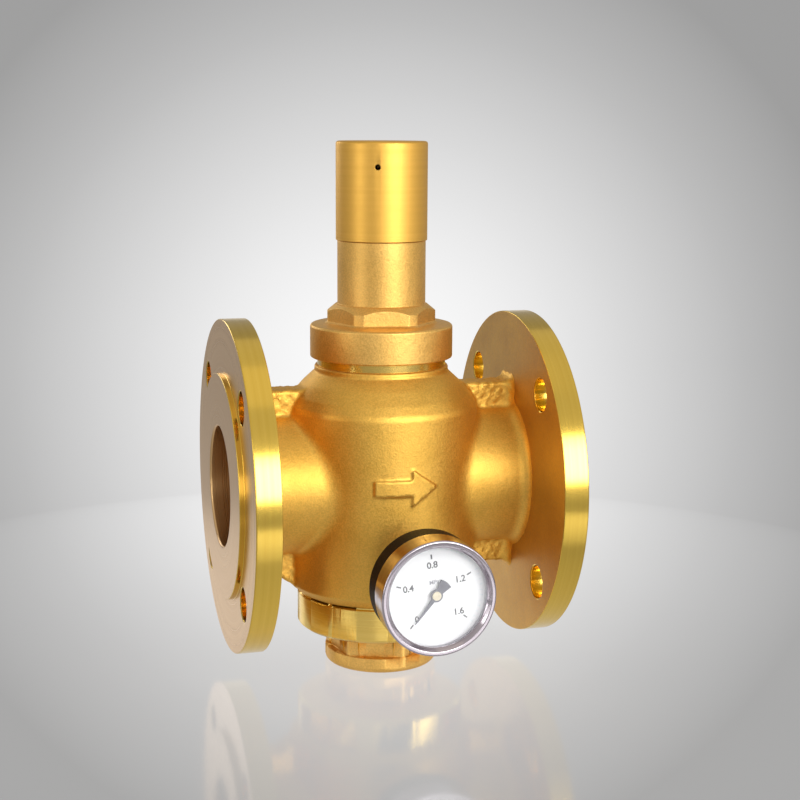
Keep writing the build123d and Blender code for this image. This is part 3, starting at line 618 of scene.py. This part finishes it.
# ------------------------------------------------------------- body and flanges

GRID_STEP = 1.0           # of the grid that the casting is meshed on
GRID_BACK_Y = 54.0        # just behind the barrel
# After the first material come faced brass with its painted reflection, then the flange backs
# darkened as painted shade.
FACED_AND_REFLECTION, AS_CAST_SHADED = 1, 2     # material places on the casting and the flanges, after the first


def from_pipe_axis(face):
    """Distance of a face's middle from the pipe axis, in millimetres."""
    return np.hypot(face.center.y, face.center.z - PIPE_Z * MM) / MM


def make_body():
    """The casting, its two turned flanges and the turned ring at its neck."""
    casting = surface_mesh(
        "body_casting", body_distance,
        (-FLANGE_BACK - 1, BOSS_Y - 2, BODY_FOOT_Z - 1),
        (FLANGE_BACK + 1, GRID_BACK_Y, NECK_RING_Z + 1),
        GRID_STEP, "valve")
    dress(casting, CAST)
    casting.data.materials.append(FACED_BRASS_AND_REFLECTION)
    # The bores take the faced brass, whose pale tone is a painted reflection.
    for face in casting.data.polygons:
        if from_pipe_axis(face) < PORT_R + 0.6:
            face.material_index = FACED_AND_REFLECTION
    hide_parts("valve_body")
    for side, name in ((-1, "inlet_flange"), (1, "outlet_flange")):
        outline = rounded([
            (BORE_R, side * FLANGE_BACK), (FLANGE_R, side * FLANGE_BACK, 0.5),
            (FLANGE_R, side * FLANGE_FACE, 0.6), (RAISED_FACE_R, side * FLANGE_FACE, 0.3),
            (RAISED_FACE_R, side * RAISED_FACE, 0.4), (BORE_R, side * RAISED_FACE, 1.2),
        ])
        flange = lathe(name, outline, "valve", on_pipe, 256)
        for quarter in range(4):
            turn = radians(45 + 90 * quarter)
            y, z = BOLT_CIRCLE_R * cos(turn), PIPE_Z + BOLT_CIRCLE_R * sin(turn)
            cut_away(flange, bolt_hole(side, y, z))
        dress_flange(flange, side)
        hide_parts("valve_body")
    ring = lathe("neck_ring", rounded([
        (NECK_BORE_R, NECK_RING_Z - 1), (NECK_RING_R, NECK_RING_Z - 1),
        (NECK_RING_R, BODY_TOP_Z, 0.3), (NECK_BORE_R, BODY_TOP_Z),
    ]), "valve")
    dress(ring, RING_BRASS)
    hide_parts("valve_body")


def dress_flange(flange, side):
    """Turned rim and holes; a faced front whose pale tone is a painted reflection; and a cast back,
    darker as painted shade.
    """
    dress(flange, FLANGE_BRASS)
    flange.data.materials.append(FACED_BRASS_AND_REFLECTION)
    flange.data.materials.append(FLANGE_REAR_SHADED)
    for face in flange.data.polygons:
        outward = face.normal.x * side
        # Backs face the body and take the darker brass, which is painted shade.
        if outward < -0.9:
            face.material_index = AS_CAST_SHADED
        elif outward > 0.9 or from_pipe_axis(face) < BORE_R + 1.5:
            face.material_index = FACED_AND_REFLECTION


def bolt_hole(side, y, z):
    """A cutter for one bolt hole, with a small chamfer at each mouth."""
    def place(r, along, turn):
        return side * along, y + r * cos(turn), z + r * sin(turn)
    r, ease = BOLT_HOLE_R, 0.5
    outline = [
        (0, FLANGE_BACK - 2), (r + ease + 1, FLANGE_BACK - 2), (r + ease, FLANGE_BACK),
        (r, FLANGE_BACK + ease), (r, FLANGE_FACE - ease), (r + ease, FLANGE_FACE),
        (r + ease + 1, FLANGE_FACE + 2), (0, FLANGE_FACE + 2),
    ]
    return lathe("bolt_hole", outline, "valve", place, 96, closed=False)


# -------------------------------------------------------- bonnet, cap, bottom cap

def hexagon_radius(turn, flats, first_corner, soft=0.6):
    """Radius of a hexagon with slightly rounded corners at an angle."""
    total = 0.0
    power = 26.0 / soft
    for side in range(6):
        facing = first_corner + pi / 6 + side * pi / 3
        total += max(cos(turn - facing), 0.0) ** power
    return flats / 2 * total ** (-1 / power)


COLLAR_R = high("bonnet", "X")
COLLAR_TOP_Z = 189.7
BONNET_HEX_FLATS = 53.5
BONNET_HEX_CORNER = radians(-9.5)
BONNET_HEX_TURNED_R = 29.4
BONNET_HEX_TOP_Z = 200.6
SPIGOT_R = 29.0
SPRING_ROOM_R = 18.5
SPRING_ROOM_MOUTH_R = 25.0
TUBE_R = 23.9
TUBE_TOP_Z = low("cap", "Z") - 0.2
TUBE_LAND_R = 21.5        # the turned land that the cap screws onto
TUBE_END_Z = 252.0
SCREW_HOLE_R = 8.05
SCREW_HOLE_Z = 243.0


def bonnet_outline(turn):
    """Section through the bonnet at an angle: collar, hexagon and tube."""
    hexagon = hexagon_radius(turn, BONNET_HEX_FLATS, BONNET_HEX_CORNER)
    hexagon = min(hexagon, BONNET_HEX_TURNED_R)
    shoulder = 25.0
    drop = 3.6 * (hexagon - shoulder) / (BONNET_HEX_TURNED_R - shoulder)
    foot = low("bonnet", "Z")
    return rounded([
        (SPRING_ROOM_MOUTH_R, foot), (SPIGOT_R, foot, 0.4), (SPIGOT_R, BODY_TOP_Z),
        (COLLAR_R, BODY_TOP_Z, 0.9), (COLLAR_R, COLLAR_TOP_Z, 1.6),
        (hexagon + 1.3, COLLAR_TOP_Z + 0.7, 0.6), (hexagon, COLLAR_TOP_Z + 1.6, 0.5),
        (hexagon, BONNET_HEX_TOP_Z - drop, 0.4), (shoulder, BONNET_HEX_TOP_Z, 0.4),
        (TUBE_R, BONNET_HEX_TOP_Z + 0.3, 0.4), (TUBE_R, TUBE_TOP_Z, 0.3),
        (TUBE_LAND_R, TUBE_TOP_Z), (TUBE_LAND_R, TUBE_END_Z - 1), (TUBE_LAND_R - 1, TUBE_END_Z),
        (SCREW_HOLE_R, TUBE_END_Z), (SCREW_HOLE_R, SCREW_HOLE_Z),
        (SPRING_ROOM_R, SCREW_HOLE_Z), (SPRING_ROOM_R, 188.0), (SPRING_ROOM_MOUTH_R, 185.0),
    ])


def make_bonnet():
    """The bonnet: collar, hexagon and spring tube in one casting."""
    bonnet = lathe("bonnet_casting", bonnet_outline, "valve", segments=360, start=BONNET_HEX_CORNER)
    dress(bonnet, BONNET_CAST)
    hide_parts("bonnet")


CAP_R = high("cap", "X")
CAP_BORE_R = 21.55
CAP_ROOF_Z = 283.0
CAP_GROOVE_R = 23.1       # groove for the cap's O-ring
CAP_GROOVE_Z = 236.8, 240.0
CAP_HOLE_R = 1.6
CAP_HOLE_Z = PIPE_Z + 170.4
CAP_HOLE_TURN = radians(-20.0)


def make_cap():
    """The protective cap, with the hole for the bar that turns it."""
    bottom, top = low("cap", "Z"), high("cap", "Z")
    groove_foot, groove_top = CAP_GROOVE_Z
    outline = rounded([
        (CAP_BORE_R, bottom), (CAP_R, bottom, 0.4), (CAP_R, top, 1.5), (0, top),
        (0, CAP_ROOF_Z), (CAP_BORE_R, CAP_ROOF_Z, 2.0), (CAP_BORE_R, groove_top),
        (CAP_GROOVE_R, groove_top), (CAP_GROOVE_R, groove_foot), (CAP_BORE_R, groove_foot),
    ], steps=6)
    cap = lathe("cap_shell", outline, "cap", segments=256)
    aim = Vector((sin(CAP_HOLE_TURN), -cos(CAP_HOLE_TURN), 0))
    side = Vector((cos(CAP_HOLE_TURN), sin(CAP_HOLE_TURN), 0))

    def place(r, along, turn):
        return aim * along + side * (r * cos(turn)) + Vector((0, 0, CAP_HOLE_Z + r * sin(turn)))
    drill = [(0, -30), (CAP_HOLE_R, -30), (CAP_HOLE_R, 30), (0, 30)]
    cut_away(cap, lathe("drill", drill, "cap", place, 48, closed=False))
    dress(cap, CAP_SATIN)
    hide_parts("cap")


FOOT_RING_R = high("bottom_cap", "X")
FOOT_HEX_R = 31.0
FOOT_HEX_FLATS = 2 * FOOT_HEX_R * cos(pi / 6)
FOOT_HEX_CORNER = radians(-20.4)
BASE_R = 27.3
BASE_COLLAR_Z = 9.0
FOOT_UNDER_Z = 18.8
FOOT_SPIGOT_Z = 42.0
BALANCE_BORE_R = 20.05    # bore for the balance piston
BALANCE_BORE_Z = 20.0
FOOT_SATIN_TOP = 22.0     # the ring is turned bright, and all below it is left satin


def foot_outline(turn):
    """Section through the bottom cap at an angle: base collar, hexagon, ring and spigot."""
    hexagon = hexagon_radius(turn, FOOT_HEX_FLATS, FOOT_HEX_CORNER, 0.3)
    ledge = min(max(hexagon, BASE_R), FOOT_HEX_R - 0.6)
    return rounded([
        (0, 0), (BASE_R, 0, 0.4), (29.6, 0.9, 0.4), (30.6, 1.9, 0.4), (FOOT_HEX_R, 3.3, 0.6),
        (FOOT_HEX_R, BASE_COLLAR_Z, 0.5), (ledge, BASE_COLLAR_Z, 0.2),
        (hexagon, BASE_COLLAR_Z + 0.4, 0.2), (hexagon, FOOT_UNDER_Z, 0.5),
        (33.0, FOOT_UNDER_Z, 0.8), (44.4, 22.4, 1.0), (FOOT_RING_R, 23.9, 1.6),
        (FOOT_RING_R, FOOT_SPIGOT_Z - 1.4, 0.4), (45.4, 41.3), (45.4, FOOT_SPIGOT_Z),
        (FOOT_SOCKET_R, FOOT_SPIGOT_Z), (FOOT_SOCKET_R, FOOT_SOCKET_TOP_Z),
        (BALANCE_BORE_R, FOOT_SOCKET_TOP_Z), (BALANCE_BORE_R, BALANCE_BORE_Z),
        (0, BALANCE_BORE_Z),
    ])


def make_foot():
    foot = lathe("foot_cap", foot_outline, "valve", segments=360, start=FOOT_HEX_CORNER)
    dress(foot, RING_BRASS)
    foot.data.materials.append(BONNET_CAST)
    for face in foot.data.polygons:
        if face.center.z < FOOT_SATIN_TOP * MM:
            face.material_index = 1
    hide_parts("bottom_cap")


# ---------------------------------------------------------------------- gauge

DIAL_Y = low("dial", "Y")
DIAL_R = 25.4             # what the bezel leaves in view
SOCKET_HOLE_R = 6.0
FULL_SCALE = 1.6          # megapascals
GAUGE_TILT = radians(7.0)
SWEEP = radians(270)
ZERO = radians(225) + GAUGE_TILT


def make_gauge_case():
    """The black case and the polished bezel."""
    rear, front = high("gauge_case", "Y"), low("gauge_case", "Y")
    r = high("gauge_case", "X")
    case = lathe("gauge_shell", rounded([
        (SOCKET_HOLE_R, rear), (r, rear, 1.6), (r, front), (r - 0.9, front),
        (r - 0.9, rear - 1.0, 1.0), (SOCKET_HOLE_R, rear - 1.0),
    ]), "valve", on_gauge)
    dress(case, BLACK)
    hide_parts("gauge_case")
    rear, front = high("bezel", "Y"), low("bezel", "Y")
    outer = high("bezel", "X")
    bezel = lathe("gauge_bezel", rounded([
        (r, rear), (outer, rear, 0.3), (outer, front, 1.6), (27.2, front, 0.8),
        (26.0, front + 1.6, 0.4), (DIAL_R, front + 2.2, 0.2), (DIAL_R, front + 2.7),
        (r, front + 2.7),
    ], steps=6), "valve", on_gauge, 256)
    dress(bezel, CHROME)
    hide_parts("bezel")


def value_angle(value):
    """Direction of a pressure in megapascals on the scale."""
    return ZERO - SWEEP * value / FULL_SCALE


def mark(vertices, faces, inner, outer, angle, width):
    """Add one straight scale mark, a thin raised bar, to a growing mesh."""
    along = Vector((cos(angle), 0, sin(angle)))
    across = Vector((-sin(angle), 0, cos(angle))) * width / 2
    a = len(vertices)
    for height in (0.005, 0.06):
        centre = Vector((0, DIAL_Y - height, GAUGE_Z))
        for r, side in ((inner, -1), (outer, -1), (outer, 1), (inner, 1)):
            vertices.append(centre + along * r + across * side)
    faces += [(a, a + 1, a + 2, a + 3), (a + 4, a + 7, a + 6, a + 5), (a, a + 4, a + 5, a + 1),
              (a + 1, a + 5, a + 6, a + 2), (a + 2, a + 6, a + 7, a + 3), (a + 3, a + 7, a + 4, a)]


def marks(name, rows, look):
    """A set of scale marks as one piece.  Each row is (value, inner, outer, width)."""
    vertices, faces = [], []
    for value, inner, outer, width in rows:
        mark(vertices, faces, inner, outer, value_angle(value), width)
    piece = finish_mesh(name, vertices, faces, "valve")
    dress(piece, look)


def lettering(name, text, size, x, z, look):
    """Generic dial lettering, turned with the dial."""
    curve = bpy.data.curves.new(name, "FONT")
    curve.body = text
    curve.size = size * MM
    curve.align_x, curve.align_y = "CENTER", "CENTER"
    curve.extrude = 0.03 * MM
    curve.offset = 0.02 * MM * size
    letters = bpy.data.objects.new(name, curve)
    bpy.context.scene.collection.objects.link(letters)
    c, s = cos(GAUGE_TILT), sin(GAUGE_TILT)
    letters.location = Vector((x * c - z * s, DIAL_Y - 0.035, GAUGE_Z + (x * s + z * c))) * MM
    letters.rotation_euler = Euler((pi / 2, -GAUGE_TILT, 0), "XYZ")
    bpy.context.view_layer.update()
    solid = letters.evaluated_get(bpy.context.evaluated_depsgraph_get())
    mesh = bpy.data.meshes.new_from_object(solid)
    mesh.transform(letters.matrix_world)
    bpy.data.objects.remove(letters)
    piece = bpy.data.objects.new(name, mesh)
    bpy.context.scene.collection.objects.link(piece)
    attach(piece, "valve")
    dress(piece, look)


def make_dial():
    """Dial plate, scale and numbers."""
    rear, hole, edge = high("dial", "Y"), 1.6, 28.0
    plate = lathe("dial_plate", rounded([
        (hole, rear), (edge, rear), (edge, DIAL_Y, 0.1), (hole, DIAL_Y, 0.1),
    ]), "valve", on_gauge)
    dress(plate, DIAL_WHITE)
    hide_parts("dial")
    main = [(0.4 * k, 18.6, 21.0, 0.7) for k in range(5)]
    fine = [(0.04 * k, 23.2, 24.4 + (0.4 if k % 5 == 0 else 0), 0.18) for k in range(41)]
    marks("scale_main_marks", main, INK)
    marks("scale_fine_marks", fine, CYAN_INK)
    numbers = ((0.0, "0", 15.4), (0.4, "0.4", 14.6), (0.8, "0.8", 15.4),
               (1.2, "1.2", 14.6), (1.6, "1.6", 15.4))
    for value, text, r in numbers:
        angle = value_angle(value) - GAUGE_TILT
        lettering(f"number_{text}", text, 4.6, r * cos(angle), r * sin(angle), INK)
    lettering("unit_letters", "MPa", 3.0, 0, 6.6, GREY_INK)


def make_pointer():
    """Tapered needle with a fan-shaped tail, on its hub."""
    def spin(x, z):
        c, s = cos(ZERO), sin(ZERO)
        return x * c - z * s, x * s + z * c
    rear = high("pointer", "Y")
    front = low("pointer", "Y")
    outline = [(18.0, 0.0), (17.5, 0.28), (3.2, 1.05)]
    outline += [(3.3 * cos(a), 3.3 * sin(a)) for a in np.radians([25, 50, 75, 100, 125, 145])]
    outline += [(-8.4 * cos(a), 8.4 * sin(a)) for a in np.radians([24, 18, 12, 6, 0])]
    outline += [(x, -z) for x, z in reversed(outline[1:-1])]
    count = len(outline)
    vertices = []
    for y, shrink in ((rear, 1.0), (front + 0.1, 1.0), (front, 0.97)):
        for x, z in outline:
            px, pz = spin(x * (1 - (1 - shrink) * 0.3), z * shrink)
            vertices.append((px, y, GAUGE_Z + pz))
    faces = [list(range(count)), [2 * count + i for i in reversed(range(count))]]
    for level in (0, 1):
        for i in range(count):
            j = (i + 1) % count
            a = level * count
            faces.append((a + i, a + count + i, a + count + j, a + j))
    needle = finish_mesh("pointer_needle", vertices, faces, "pointer")
    tidy(needle)
    dress(needle, SLATE)
    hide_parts("pointer")
    hub = lathe("pointer_boss", rounded([
        (0, front), (2.3, front), (2.3, front - 0.75, 0.3), (0.9, front - 0.8, 0.1),
        (0.8, front - 0.6), (0, front - 0.6),
    ], 0.1, closed=False), "pointer", on_gauge, 64, closed=False)
    dress(hub, CREAM)
    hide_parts("pointer_hub")


# ---------------------------------------------------------------- the studio
# The studio's sizes are in metres.

LIT_HEIGHT = 0.13         # what the lights face
EYE = (-0.223, -0.822, (PIPE_Z + 194) * MM)    # where the photo was taken from
FLOOR_FRONT_Y = -2.2
FLOOR_HALF_WIDTH = 2.6
CURVE_Y = 1.0             # where the floor begins to sweep up
CURVE_R = 0.8
BACKDROP_TOP = 2.4
# The glow on the floor and backdrop is painted light: a cone of emission in place of a lamp.
GLOW_YAW = radians(15.15)
GLOW_PITCH = radians(9.5)
GLOW_EDGE = 0.955         # cosine of the half angle of the cone of light on the backdrop
GLOSS_NEAR = 0.24         # the floor mirrors the valve up to here, and is matt from the next
GLOSS_FAR = 0.42


def add_softbox(name, azimuth, elevation, distance, width, height, radiance, colour=(1, 1, 1)):
    """A rectangular light that faces the valve.  Azimuth 0 is in front, 90 to the right."""
    a, e = radians(azimuth), radians(elevation)
    target = Vector((0, 0, LIT_HEIGHT))
    light = bpy.data.lights.new(name, "AREA")
    light.shape, light.size, light.size_y = "RECTANGLE", width, height
    light.energy, light.color = radiance * pi * width * height, colour
    lamp = bpy.data.objects.new(name, light)
    bpy.context.scene.collection.objects.link(lamp)
    lamp.location = target + distance * Vector((sin(a) * cos(e), -cos(a) * cos(e), sin(e)))
    lamp.rotation_euler = (target - lamp.location).to_track_quat("-Z", "Y").to_euler()
    lamp.visible_camera = False


def floor_look():
    """Pale floor that glows with a painted pool of light in a fixed cone, and is glossy only near
    the valve.
    """
    n = Nodes("floor_look")
    n.shader.inputs["Base Color"].default_value = (0.12, 0.12, 0.12, 1)
    n.shader.inputs["Roughness"].default_value = 0.1
    ray = n.add("ShaderNodeVectorMath", operation="SUBTRACT")
    n.link(n.place, "Object", ray, 0)
    ray.inputs[1].default_value = EYE
    unit = n.add("ShaderNodeVectorMath", operation="NORMALIZE")
    n.link(ray, "Vector", unit, 0)
    inside = n.add("ShaderNodeVectorMath", operation="DOT_PRODUCT")
    n.link(unit, "Vector", inside, 0)
    inside.inputs[1].default_value = (
        sin(GLOW_YAW) * cos(GLOW_PITCH), cos(GLOW_YAW) * cos(GLOW_PITCH), -sin(GLOW_PITCH))
    glow = n.span(inside, "Value", 0.0, 1.0, GLOW_EDGE, 1.0)
    # The painted light falls off from the middle of the cone to its edge, and stays low outside it.
    falls = [(0.0, 0.26), (0.14, 0.31), (0.31, 0.37), (0.425, 0.42), (0.61, 0.53),
             (0.725, 0.61), (0.82, 0.69), (0.90, 0.77), (0.955, 0.83), (1.0, 0.88)]
    painted_light = n.ramp(glow, "Result", [(at, (v, v, v * 1.005)) for at, v in falls])
    # Painted light: the floor glows by emission, brightest in the cone.
    n.link(painted_light, "Color", n.shader, "Emission Color")
    n.shader.inputs["Emission Strength"].default_value = 1.0
    away = n.add("ShaderNodeVectorMath", operation="LENGTH")
    n.link(n.place, "Object", away, 0)
    gloss = n.span(away, "Value", 0.5, 0.0, GLOSS_NEAR, GLOSS_FAR)
    n.link(gloss, "Result", n.shader, "Specular IOR Level")
    return n.material


def make_floor():
    """Floor that sweeps up behind the valve."""
    profile = [(FLOOR_FRONT_Y, 0.0), (CURVE_Y, 0.0)]
    profile += [(CURVE_Y + CURVE_R * sin(a), CURVE_R - CURVE_R * cos(a))
                for a in np.radians(range(6, 91, 6))]
    profile += [(CURVE_Y + CURVE_R, BACKDROP_TOP)]
    sides = (-FLOOR_HALF_WIDTH, FLOOR_HALF_WIDTH)
    vertices = [(x, y, z) for x in sides for y, z in profile]
    count = len(profile)
    faces = [(i, i + 1, count + i + 1, count + i) for i in range(count - 1)]
    mesh = bpy.data.meshes.new("floor")
    mesh.from_pydata(vertices, [], faces)
    mesh.polygons.foreach_set("use_smooth", [True] * len(mesh.polygons))
    floor = bpy.data.objects.new("floor", mesh)
    bpy.context.scene.collection.objects.link(floor)
    dress(floor, floor_look())


def light_studio():
    """Warm surroundings and the soft lights."""
    world = bpy.data.worlds.new("studio")
    bpy.context.scene.world = world
    world.use_nodes = True
    background = world.node_tree.nodes["Background"].inputs
    background["Color"].default_value = (1.0, 0.97, 0.93, 1)
    background["Strength"].default_value = 0.6
    add_softbox("key_light", 18, 15, 1.5, 0.85, 0.78, 5.5)
    add_softbox("front_fill", 20, 13, 1.9, 3.2, 0.7, 1.6)
    add_softbox("left_light", -70, 6, 1.3, 0.26, 0.8, 4.0)
    add_softbox("right_light", 74, 0, 1.3, 0.3, 0.5, 0.7)
    add_softbox("rear_light", -155, 16, 1.5, 0.6, 0.6, 2.1)
    add_softbox("top_light", 0, 80, 1.5, 1.2, 0.9, 0.2, (1.0, 0.85, 0.6))
    bpy.context.scene.view_settings.view_transform = "Standard"


def make_camera():
    """Camera a little to the left and above, with a long lens."""
    camera = bpy.data.cameras.new("camera")
    camera.sensor_width = 36.0
    camera.lens = 70.8
    eye = bpy.data.objects.new("camera", camera)
    bpy.context.scene.collection.objects.link(eye)
    eye.location = EYE
    yaw, pitch, roll = radians(15.88), radians(10.04), radians(0.30)
    aim = Vector((sin(yaw) * cos(pitch), cos(yaw) * cos(pitch), -sin(pitch)))
    turn = aim.to_track_quat("-Z", "Y").to_matrix().to_4x4()
    eye.rotation_euler = (turn @ Euler((0, 0, roll)).to_matrix().to_4x4()).to_euler()
    bpy.context.scene.camera = eye


make_camera()
make_floor()
light_studio()
make_body()
make_bonnet()
make_cap()
make_foot()
make_gauge_case()
make_dial()
make_pointer()
